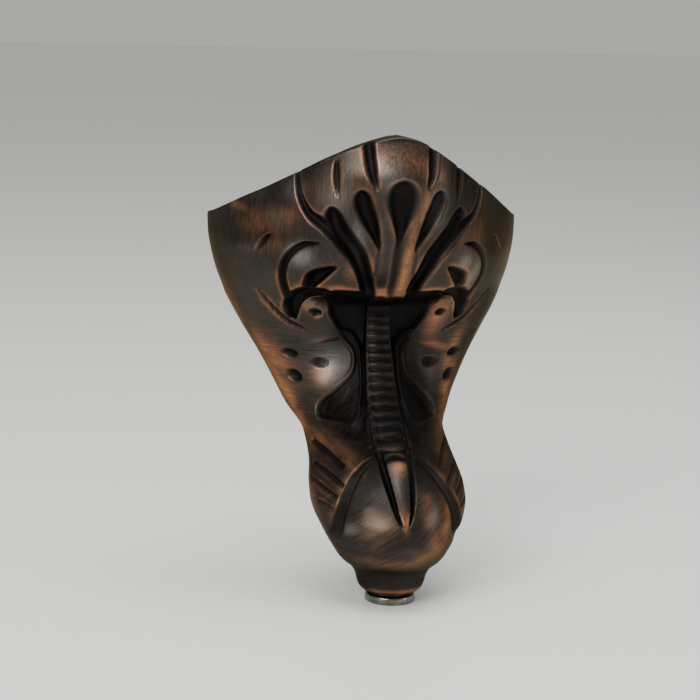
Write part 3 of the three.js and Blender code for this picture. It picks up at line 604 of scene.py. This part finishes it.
# Where the finish is rubbed through: angle, height, reach across and up in millimetres, tilt in
# degrees, strength
RUBBED = [
    (3, 186.5, 9, 5, 0, .45), (-5, 188, 5, 5, 0, .3), (7.4, 169, 2, 11, -8, .55),
    (4, 150, 2.2, 12, -4, .8), (3.6, 136, 2.4, 8, 0, 1.0), (-1.5, 129, 7, 2.6, 0, .9),
    (-52.7, 157.2, 12, 5, 0, .8), (-42.5, 160.2, 8, 4, 20, .5), (-67.1, 162.7, 10, 2, -14, .5),
    (-47.3, 149.4, 6, 4, 0, .35), (-76, 97, 6, 9, 20, .9), (-79, 84, 4.5, 16, 12, 1.0),
    (-80, 68, 6, 7, -30, .9), (-62, 65, 8, 2.4, -22, .8), (-39, 63, 9, 3.5, -22, .7),
    (62.3, 99.1, 3, 9, 0, .7), (66, 86, 3, 10, 0, .7), (68, 73, 4, 9, 0, .7), (60, 64, 6, 7, 0, .5),
    (45.3, 103.1, 9, 1.4, -14, .9), (2, 60, 3.2, 3.4, 0, 1.0), (0.6, 40, 1.6, 4.5, 0, 1.0),
    (-39, 58.4, 5, 1.8, -35, .8), (-26, 61.8, 5, 1.6, -20, .5), (-38, 22, 9, 2.6, 0, .25),
    (-8, 21.4, 14, 2.2, 0, .35), (22, 24, 8, 3, 15, .4), (44, 38, 5, 9, -20, .9),
    (33, 29, 6, 5, -30, .6), (21, 43.7, 3, 7, -10, .45), (-43.1, 121.6, 4, 3.5, 0, .55),
    (32.5, 122.5, 4, 4, 0, .65), (-21.6, 130.9, 6, 1.4, 0, .8), (18.6, 150.4, 2, 8, -20, .4),
    (-38, 130.1, 4, 1.6, 0, .7), (-44, 90, 6, 5, 0, .45), (37.3, 113.2, 6, 9, 0, .75),
    (-86, 121, 5, 14, 0, .45), (32.7, 154, 10, 8, 0, .35), (-14, 176.1, 4, 8, 0, .15),
    (-28.7, 172.5, 6, 6, 0, .15), (13.5, 182.1, 4, 7, 0, .3), (-15.9, 136.2, 3, 6, 0, .3),
    (67.1, 151.5, 8, 14, 0, .25), (-20, 36, 8, 6, 20, .25), (85, 45, 5, 10, 0, .4),
    (-86, 45, 5, 10, 0, .35),
]

# Where the dark finish is polished, with painted bright grey highlights on it, in the same order
POLISH_AND_HIGHLIGHTS = [
    (-36, 93, 7, 7, -20, 1.0), (-31, 84, 5, 5, -40, .6), (-4, 182.5, 6, 6, 0, .9),
    (-22, 174, 6, 9, 0, .65), (-24, 37, 13, 3, 16, .26), (-46, 35, 8, 2.6, 20, .4),
    (-38.5, 121.5, 4, 3, 30, .8), (-58, 146, 9, 3, 10, .2), (-46, 160, 8, 5, 0, .3),
    (-14, 150, 3, 10, 0, .5), (12, 168, 4, 8, 0, .5), (30, 142, 5, 4, -40, .6),
    (-36, 145, 6, 4.5, 0, .75), (-60, 170, 9, 4, 0, .15), (38, 134, 5, 9, 0, .7),
    (-38, 172, 6, 5, 0, .5), (28, 42, 3, 6, -18, .35), (-3, 55, 1.4, 6, 0, .12),
]


# The fields, and what they are away from the front
FIELDS = ("rubbed", "edge", "patina_and_shade", "folded", "polish_and_highlight")
HIDDEN = (0, 0, .25, 0, 0)
# A place this near to the grid is on the front, in millimetres. The closed back ends at this
# height, and its outside begins at this share of its reach
ON_FRONT = 2.0
BACK_ENDS = 76
BACK_SKIN = .965
# Edges that bend by more degrees are crisp
CASTING_CRISP = 32
STUD_CRISP = 50
PAD_CRISP = 40


def paint(angles, z, depth, base):
    """Fields over the front: rubbed patches, worn edges, dark patina and painted shade in the
    carving and round it, folded places, and polished places with painted highlights."""
    a = np.broadcast_to(angles, z.shape)
    radius = plain_radius(a, z)
    x = radius * np.abs(np.sin(np.radians(a)))

    def spots(table):
        field = np.zeros(z.shape)
        for angle, height, along, up, tilt, strength in table:
            u, v = np.radians(a - angle) * radius, z - height
            c, s = math.cos(math.radians(tilt)), math.sin(math.radians(tilt))
            p, q = (c * u + s * v) / along, (-s * u + c * v) / up
            field = np.maximum(field, strength * np.exp(-(p * p + q * q)))
        return field

    cut = depth - base
    # the middle, from the ridge's foot to under the fan, is painted in deep shade and keeps little
    # copper
    middle = (1 - smooth(x, 15, 27)) * smooth(z, 58, 70) * (1 - smooth(z, 120, 127))
    on_ridge = x < curve(RIDGE_HALF, 1, z)

    # worn edges, from how far the skin stands proud of what is round it
    near = blur(depth, 4) - depth
    wide = blur(depth, 26) - depth
    edges = np.clip(near / .4, 0, 1) * np.clip(1 - cut / .7, 0, 1) * .7
    edges = edges + np.clip(wide / 1.8, 0, 1) * .15
    top = np.clip(1 - (rim_height(a) - z) / 1.6, 0, 1)
    side = np.clip(1 - np.radians(90 - np.abs(a)) * radius / 1.8, 0, 1) * smooth(z, 70, 84)
    collar = np.exp(-((z - 6.6) / .9) ** 2)
    cuff = signed_distance(x, z, rounded(BALL))
    on_cuff = np.exp(-((cuff - .6) / 1.2) ** 2) * (z < 62) * smooth(z, 33, 42)
    # few worn edges in the middle's painted shade and close round the cuff's edge
    edges = edges * (1 - .97 * middle) * (1 - .8 * np.exp(-(cuff / 3.2) ** 2) * (z < 64))
    flap = signed_distance(x, z, rounded(FLAP))
    edges = edges * (1 - .9 * np.exp(-(flap / 3.0) ** 2) * (1 - smooth(z, 90, 96)))
    for at, height, along, up, _, _ in PITS:
        across = np.radians(np.abs(a) - at) * radius / (along + 2)
        edges = edges * (.3 + .7 * smooth(np.hypot(across, (z - height) / (up + 2)), .8, 1.2))
    edges = np.maximum.reduce([edges, .4 * top, .5 * side, .9 * collar, .45 * on_cuff])
    edges = np.clip(edges, 0, 1)

    # dark patina and painted shade in the carving, and painted shade on the neck, under the scrolls, on
    # the cuff's bevel, at the talon's root and over the middle
    # dark patina and painted shade, deeper where the carving is deeper
    patina_and_shade = .93 * np.clip(cut / 2.0, 0, 1) ** .75
    # painted shade on the collar and in the crease under the ball
    neck = .45 * (1 - smooth(z, 14, 17)) * smooth(z, 7.4, 9)
    neck = np.maximum(.6 * np.exp(-((z - 15.6) / 1.6) ** 2), neck)
    # painted shadow under the fan's overhanging lower edge
    brow_shadow = (1 - smooth(np.abs(a), 18, 32)) * smooth(z, 108, 119) * (1 - smooth(z, 123.8, 127.2))
    # painted shade on the cuff's bevel and a darker painted shadow in the crease at its foot
    width = cuff_width(z)
    bevel = smooth(cuff, -width - .2, -width + .2) * (1 - smooth(cuff, -.2, .4))
    crease = np.exp(-((cuff + width + .4) / .7) ** 2)
    cuff_shade = np.maximum(.74 * bevel, .97 * crease) * smooth(z, 27, 33)
    # painted shade in the grooves beside the talon's root
    root = .85 * (1 - smooth(x, 8, 19)) * smooth(z, 46, 60) * (1 - smooth(z, 62, 68))
    root = root * (x > curve(CLAW_HALF, 1, z))
    # the middle's painted shade: darker low down and in the grooves between the scutes, lighter on their
    # crests
    line = np.clip(-near / .3, 0, 1) - np.clip(near / .3, 0, 1)
    centre = middle * (.60 + .20 * (1 - smooth(z, 78, 90)) + .26 * line * on_ridge)
    patina_and_shade = np.clip(np.maximum.reduce([patina_and_shade, neck, .9 * brow_shadow, cuff_shade, root]), centre, 1)
    patina_and_shade = np.where(on_ridge & (z > 66) & (z < 118), np.maximum(.9 * brow_shadow, centre), patina_and_shade)

    # skin folds in the hollow and below it
    folded = (1 - smooth(x, 20, 27)) * smooth(z, 60, 67) * (1 - smooth(z, 102, 110)) * (x > 5)
    below = (1 - smooth(z, 70, 75)) * (1 - smooth(x, 12, 18))
    folded = folded * np.maximum(smooth(cut, .5, 1.6), below)
    return spots(RUBBED) * (1 - .85 * middle), edges, patina_and_shade, folded, spots(POLISH_AND_HIGHLIGHTS)


def lookup(points, surface, fields, fallback):
    """Carries fields from the grid to the points of the finished body by their places, and tells
    which points are on the front."""
    tree = KDTree(surface[..., 0].size)
    for i, place in enumerate(surface.reshape(-1, 3).tolist()):
        tree.insert(place, i)
    tree.balance()
    found = [tree.find(place) for place in (points / MM).tolist()]
    index = np.array([f[1] for f in found])
    near = np.array([f[2] for f in found]) < ON_FRONT
    return [np.where(near, f.ravel()[index], v) for f, v in zip(fields, fallback)], near


def attribute(mesh, name, values):
    layer = mesh.attributes.new(name, "FLOAT", "POINT")
    layer.data.foreach_set("value", values.astype(np.float32))


def shade(obj, degrees, soft=None):
    """Smooth shading with crisp edges, but none inside the finely carved front."""
    mesh = obj.data
    mesh.polygons.foreach_set("use_smooth", np.ones(len(mesh.polygons), bool))
    mesh.set_sharp_from_angle(angle=math.radians(degrees))
    if soft is not None:
        pairs = np.empty(len(mesh.edges) * 2, np.int32)
        mesh.edges.foreach_get("vertices", pairs)
        pairs = pairs.reshape(-1, 2)
        sharp = np.empty(len(mesh.edges), bool)
        layer = mesh.attributes["sharp_edge"].data
        layer.foreach_get("value", sharp)
        sharp &= ~(soft[pairs[:, 0]] & soft[pairs[:, 1]])
        layer.foreach_set("value", sharp)
    mesh.update()


def casting():
    """The hollow casting with its web, boss and holes, and the fields that its finish reads."""
    body, angles, z, depth, base, surface = outer_block()
    painted = paint(angles, z, depth, base)
    web = box_body("web", (-WEB_REACH, WEB_BACK - WEB_THICKNESS, WEB_MIDDLE - WEB_HEIGHT / 2),
                   (WEB_REACH, WEB_BACK, WEB_MIDDLE + WEB_HEIGHT / 2))
    combine(web, hollow_body(-WEB_INTO_WALL), "INTERSECT")
    combine(body, hollow_body(), "DIFFERENCE")
    combine(body, web, "UNION")
    boss = turned("boss", [[0, BOSS_FOOT], [BOSS_RADIUS, BOSS_FOOT], [BOSS_RADIUS, BOSS_TOP - 1],
                           [BOSS_RADIUS - .3, BOSS_TOP - .3], [BOSS_RADIUS - 1, BOSS_TOP],
                           [0, BOSS_TOP]])
    combine(body, boss, "UNION")
    bore, top = STUD_RADIUS + CLEARANCE, PAD_THICKNESS + STUD_LENGTH + CLEARANCE
    hole = turned("hole", [[0, 0], [bore, 0], [bore, top], [0, top]])
    combine(body, hole, "DIFFERENCE")
    bolt = turned("bolt", [[0, -BOLT_REACH], [BOLT_HOLE_RADIUS, -BOLT_REACH],
                           [BOLT_HOLE_RADIUS, BOLT_REACH], [0, BOLT_REACH]],
                  centre=(0, WEB_BACK, WEB_MIDDLE), along_y=True)
    combine(body, bolt, "DIFFERENCE")
    mesh = body.data
    fields, front = lookup(positions(mesh), surface, painted, HIDDEN)
    for name, values in zip(FIELDS, fields):
        attribute(mesh, name, values)
    # the outside behind the front is finished as the front is
    x, y, z = (positions(mesh) / MM).T
    reach = np.maximum(curve(SECTIONS, BEHIND, z), 1)
    behind = np.hypot(x / half_width(z), (y - spine(z)) / reach)
    outside = front | ((y > spine(z)) & (z < BACK_ENDS) & (behind > BACK_SKIN))
    attribute(mesh, "carved", outside.astype(float))
    shade(body, CASTING_CRISP, front)
    return body


def stud():
    """The levelling screw with its real helical thread."""
    share = np.arange(THREAD_SEGMENTS) / THREAD_SEGMENTS
    turn = 2 * np.pi * share
    foot = PAD_THICKNESS - SOCKET_DEPTH + CLEARANCE
    start = PAD_THICKNESS + CLEARANCE + .2
    root = STUD_RADIUS - THREAD_DEPTH
    neck = ((NECK_RADIUS - NECK_ROUND, foot), (NECK_RADIUS, foot + NECK_ROUND), (NECK_RADIUS, start),
            (3.3, start + .05))
    rings = [circle(r, h, turn) for r, h in neck]
    for h in np.arange(start + .1, STUD_TOP - .02, THREAD_PITCH / ROWS_PER_TURN):
        phase = (h / THREAD_PITCH - share) % 1
        crest = np.clip(1.25 - np.abs(phase - .5) * 3.0, 0, 1)
        left = STUD_TOP - h
        lead = min(1, (h - start) / THREAD_RUN_OUT, left / THREAD_RUN_OUT)
        r = root + THREAD_DEPTH * crest * max(0, lead)
        if left < STUD_TIP_ROUND:
            r = np.minimum(r, STUD_RADIUS - STUD_TIP_ROUND + left)
        rings.append(circle(r, h, turn))
    obj = loft("stud_look", rings, [0, 0, foot], [0, 0, STUD_TOP])
    shade(obj, STUD_CRISP)
    return obj


def pad():
    """The swivelling pad: rounded edges and a shallow socket for the screw's neck."""
    outline = [[0, 0], [PAD_RADIUS - 2.2, 0], [PAD_RADIUS - .9, .06]]
    low, high = PAD_FOOT_ROUND, PAD_TOP_ROUND
    for t in np.radians(np.arange(-75, 1, 15)):
        outline.append([PAD_RADIUS - low + low * math.cos(t), low + low * math.sin(t)])
    for t in np.radians(np.arange(0, 91, 11.25)):
        across, up = high * math.cos(t), high * math.sin(t)
        outline.append([PAD_RADIUS - high + across, PAD_THICKNESS - high + up])
    socket = NECK_RADIUS + CLEARANCE
    seat = PAD_THICKNESS - SOCKET_DEPTH
    outline += [[socket + .4, PAD_THICKNESS], [socket, PAD_THICKNESS - .3], [socket, seat], [0, seat]]
    obj = turned("pad_look", outline, PAD_SEGMENTS)
    shade(obj, PAD_CRISP)
    return obj


class Nodes:
    """A material's nodes, made and linked one call each."""

    def __init__(self, name):
        self.material = bpy.data.materials.new(name)
        self.material.use_nodes = True
        self.tree = self.material.node_tree
        self.tree.nodes.clear()
        self.out = self.add("ShaderNodeOutputMaterial")
        self.coords = self.add("ShaderNodeTexCoord").outputs["Object"]

    def add(self, kind, **values):
        node = self.tree.nodes.new(kind)
        for key, value in values.items():
            setattr(node, key, value)
        return node

    def put(self, socket, value):
        if isinstance(value, bpy.types.NodeSocket):
            self.tree.links.new(value, socket)
        elif isinstance(value, (tuple, list)) and len(value) == 3 and socket.type == "RGBA":
            socket.default_value = (*value, 1)
        elif socket.type == "RGBA" and isinstance(value, (int, float)):
            socket.default_value = (value, value, value, 1)
        else:
            socket.default_value = value

    def math(self, operation, a, b=0.0, c=0.0, clamp=False):
        node = self.add("ShaderNodeMath", operation=operation, use_clamp=clamp)
        for socket, value in zip(node.inputs, (a, b, c)):
            self.put(socket, value)
        return node.outputs[0]

    def attribute(self, name):
        return self.add("ShaderNodeAttribute", attribute_name=name).outputs["Fac"]

    def stretched(self, scale, rotation=(0, 0, 0)):
        """Coordinates that are turned first and then scaled along each axis."""
        node = self.add("ShaderNodeMapping", vector_type="TEXTURE")
        self.put(node.inputs["Vector"], self.coords)
        node.inputs["Scale"].default_value = [1 / v for v in scale]
        node.inputs["Rotation"].default_value = [math.radians(r) for r in rotation]
        return node.outputs[0]

    def noise(self, scale, detail, roughness, vector=None):
        node = self.add("ShaderNodeTexNoise")
        self.put(node.inputs["Vector"], self.coords if vector is None else vector)
        node.inputs["Scale"].default_value = scale
        node.inputs["Detail"].default_value = detail
        node.inputs["Roughness"].default_value = roughness
        return node.outputs["Fac"]

    def range(self, value, low, high, to_low=0.0, to_high=1.0):
        """Maps low to to_low and high to to_high, level at both ends."""
        node = self.add("ShaderNodeMapRange", interpolation_type="SMOOTHSTEP")
        names = ("Value", "From Min", "From Max", "To Min", "To Max")
        for name, v in zip(names, (value, low, high, to_low, to_high)):
            self.put(node.inputs[name], v)
        return node.outputs[0]

    def mix(self, share, a, b):
        node = self.add("ShaderNodeMix", data_type="RGBA")
        self.put(node.inputs[0], share)
        self.put(node.inputs[6], a)
        self.put(node.inputs[7], b)
        return node.outputs[2]

    def bump(self, height, distance, strength, normal=None):
        node = self.add("ShaderNodeBump")
        self.put(node.inputs["Height"], height)
        node.inputs["Distance"].default_value = distance
        node.inputs["Strength"].default_value = strength
        if normal is not None:
            self.put(node.inputs["Normal"], normal)
        return node.outputs[0]

    def surface(self, **values):
        node = self.add("ShaderNodeBsdfPrincipled")
        for name, value in values.items():
            self.put(node.inputs[name.replace("_", " ")], value)
        self.put(self.out.inputs["Surface"], node.outputs[0])
        return self.material


def bronze():
    """Dark oil-rubbed finish over cast metal, brushed through to copper on edges and in soft patches."""
    n = Nodes("rubbed_bronze")
    rubbed, edge, patina_and_shade, folded, polish_and_highlight = (n.attribute(name) for name in FIELDS)
    carved = n.attribute("carved")
    inside = n.math("SUBTRACT", 1.0, carved)

    def times(a, b, **options):
        return n.math("MULTIPLY", a, b, **options)

    # brushed lines: upright above, level on the cheeks, slanted on the ball
    height = n.add("ShaderNodeSeparateXYZ")
    n.put(height.inputs[0], n.coords)
    up = height.outputs[2]
    on_ball = n.range(up, .058, .046)
    on_cheek = times(n.range(up, .062, .074), n.range(up, .118, .108))
    upright = n.noise(1.0, 5, .6, n.stretched((1500, 1500, 45)))
    slanted = n.noise(1.0, 5, .6, n.stretched((60, 200, 1300), (0, -34, 0)))
    level = n.noise(1.0, 5, .6, n.stretched((60, 120, 1500)))
    lines = n.mix(on_ball, upright, slanted)
    lines = n.mix(on_cheek, lines, level)
    cloud = n.noise(26, 5, .55)
    mottle = n.noise(95, 6, .6)

    # where copper shows
    patches = times(rubbed, n.range(cloud, .28, .62, .45, 1.15))
    patches = times(patches, n.range(lines, .3, .7, .55, 1.2))
    edges = times(edge, n.range(cloud, .38, .62, .12, 1.05))
    edges = times(edges, n.range(mottle, .3, .6, .55, 1.05))
    faint = times(n.range(cloud, .5, .78), n.range(lines, .45, .75, .1, .5))
    faint = times(times(faint, carved), .30)
    copper = n.math("MAXIMUM", n.math("MAXIMUM", patches, edges), faint)
    clean = n.math("SUBTRACT", 1.0, times(patina_and_shade, 1.15), clamp=True)
    copper = times(copper, clean, clamp=True)

    # colour
    dark = n.mix(n.range(cloud, .35, .65), (.0175, .0145, .0122), (.038, .032, .027))
    dark = n.mix(times(n.range(lines, .36, .64), .30), dark, (.062, .053, .047))
    # painted grey highlights where the finish is polished
    dark = n.mix(times(polish_and_highlight, n.range(lines, .3, .7, .6, 1.0)), dark, (.25, .218, .195))
    warm = n.mix(n.range(mottle, .3, .7), (.27, .104, .047), (.385, .170, .084))
    colour = n.mix(copper, dark, warm)
    # near-black colour of the dark patina and the painted shade
    patina_and_shade_colour = n.mix(n.range(mottle, .35, .7), (.0020, .0020, .0025), (.0052, .0050, .0062))
    colour = n.mix(times(patina_and_shade, .92), colour, patina_and_shade_colour)
    plain = n.mix(n.noise(120, 5, .6), (.052, .045, .040), (.098, .082, .070))
    colour = n.mix(inside, colour, plain)

    # gloss
    rough = n.math("ADD", n.range(lines, .3, .7, .30, .42), times(patina_and_shade, .22))
    rough = n.math("ADD", rough, n.range(mottle, .3, .7, -.04, .06))
    rough = n.math("SUBTRACT", rough, times(polish_and_highlight, .05))
    rough = n.math("ADD", rough, times(on_ball, .07))
    rough = n.mix(inside, rough, .62)
    coat = times(times(carved, .15), n.math("SUBTRACT", 1.0, times(patina_and_shade, .9)))
    metal = n.math("SUBTRACT", 1.0, times(patina_and_shade, .15))

    # fine relief: brushing or cast grain, pits, waves and the folds beside the ridge
    brushed = n.math("ADD", times(lines, .55), times(n.noise(1400, 3, .6), .2))
    bump = n.bump(n.mix(carved, n.noise(330, 5, .6), brushed), .00006, .55)
    bump = n.bump(n.range(n.noise(520, 2, .5), .30, .40), .00008, .35, bump)
    bump = n.bump(n.noise(60, 3, .5), .0005, .35, bump)
    folds = n.noise(1.0, 3, .5, n.stretched((110, 240, 340), (0, -50, 0)))
    bump = n.bump(times(folds, folded), .0015, .8, bump)
    return n.surface(Base_Color=colour, Metallic=metal, Roughness=rough, Normal=bump,
                     Specular_Tint=(.46, .43, .36), Coat_Weight=coat, Coat_Roughness=.34,
                     Coat_IOR=1.45)


def plated(name, low, high, roughness):
    """Plated steel: fine turned lines, faint stains and a little grime."""
    n = Nodes(name)
    stain = n.noise(190, 5, .6)
    lines = n.noise(1.0, 4, .6, n.stretched((120, 120, 5200)))
    colour = n.mix(n.range(stain, .35, .7), low, high)
    rough = n.range(lines, .3, .7, roughness - .05, roughness + .07)
    rough = n.math("ADD", rough, n.range(stain, .4, .8, 0, .1))
    bump = n.bump(lines, .00002, .35)
    bump = n.bump(n.noise(900, 3, .5), .00002, .25, bump)
    return n.surface(Base_Color=colour, Metallic=1.0, Roughness=rough, Normal=bump)


# The stage, in metres: half the floor, where the lamps aim, and each lamp's name, place, size,
# power in watts and colour
FLOOR_HALF = 6.0
AIM = (0, .02, .1)
LAMPS = [
    ("key", (-.85, -1.0, .95), (.9, .7), 19, (1, .985, .955)),
    ("window", (1.05, -.55, .42), (.3, .5), 2, (.95, .98, 1)),
    ("top", (.1, -.1, 1.3), (1.1, .9), 15, (1, 1, 1)),
]
SKY = (.80, .81, .765, 1)
SKY_STRENGTH = .62

# The camera, at the photograph's angle: its axes to the right, up and forward, its place in
# millimetres, lens and sensor
CAMERA_AXES = ((.97630, -.21449, .02877), (.00933, .17453, .98461), (.21621, .96101, -.17239))
CAMERA_PLACE = (-218.95, -882.34, 266.32)
LENS = 113.5
SENSOR = 36


def floor():
    n = Nodes("pale_floor")
    colour = n.mix(n.noise(3, 3, .5), (.86, .865, .85), (.89, .895, .88))
    bump = n.bump(n.noise(140, 3, .5), .0002, .1)
    material = n.surface(Base_Color=colour, Roughness=.42, Normal=bump)
    mesh = bpy.data.meshes.new("floor")
    s = FLOOR_HALF
    mesh.from_pydata([(-s, -s, 0), (s, -s, 0), (s, s, 0), (-s, s, 0)], [], [(0, 1, 2, 3)])
    obj = bpy.data.objects.new("floor", mesh)
    bpy.context.collection.objects.link(obj)
    obj.data.materials.append(material)


def lamp(name, place, aim, size, power, colour):
    light = bpy.data.lights.new(name, "AREA")
    light.shape = "RECTANGLE"
    light.size, light.size_y = size
    light.energy = power
    light.color = colour
    obj = bpy.data.objects.new(name, light)
    obj.location = place
    obj.rotation_euler = (Vector(aim) - Vector(place)).to_track_quat("-Z", "Y").to_euler()
    bpy.context.collection.objects.link(obj)


def studio():
    world = bpy.data.worlds.new("studio")
    world.use_nodes = True
    background = world.node_tree.nodes["Background"]
    background.inputs["Color"].default_value = SKY
    background.inputs["Strength"].default_value = SKY_STRENGTH
    bpy.context.scene.world = world
    for name, place, size, power, colour in LAMPS:
        lamp(name, place, AIM, size, power, colour)
    camera = bpy.data.cameras.new("camera")
    camera.lens = LENS
    camera.sensor_width = SENSOR
    camera.dof.use_dof = False
    obj = bpy.data.objects.new("camera", camera)
    right, upward, forward = (Vector(row) for row in CAMERA_AXES)
    turn = Matrix((right, upward, -forward)).transposed().to_4x4()
    obj.matrix_world = Matrix.Translation(Vector(CAMERA_PLACE) * MM) @ turn
    bpy.context.collection.objects.link(obj)
    bpy.context.scene.camera = obj


def main():
    studio()
    floor()
    body = casting()
    body.data.materials.clear()
    body.data.materials.append(bronze())
    screw = stud()
    screw.data.materials.append(plated("zinc", (.40, .39, .36), (.56, .55, .52), .33))
    disc = pad()
    disc.data.materials.append(plated("nickel", (.12, .115, .105), (.24, .23, .215), .18))
    for obj, node, owner in ((body, "foot_casting", "casting"), (screw, "levelling_stud", "stud"),
                             (disc, "levelling_pad", "pad")):
        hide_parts(node)
        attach(obj, owner)


main()
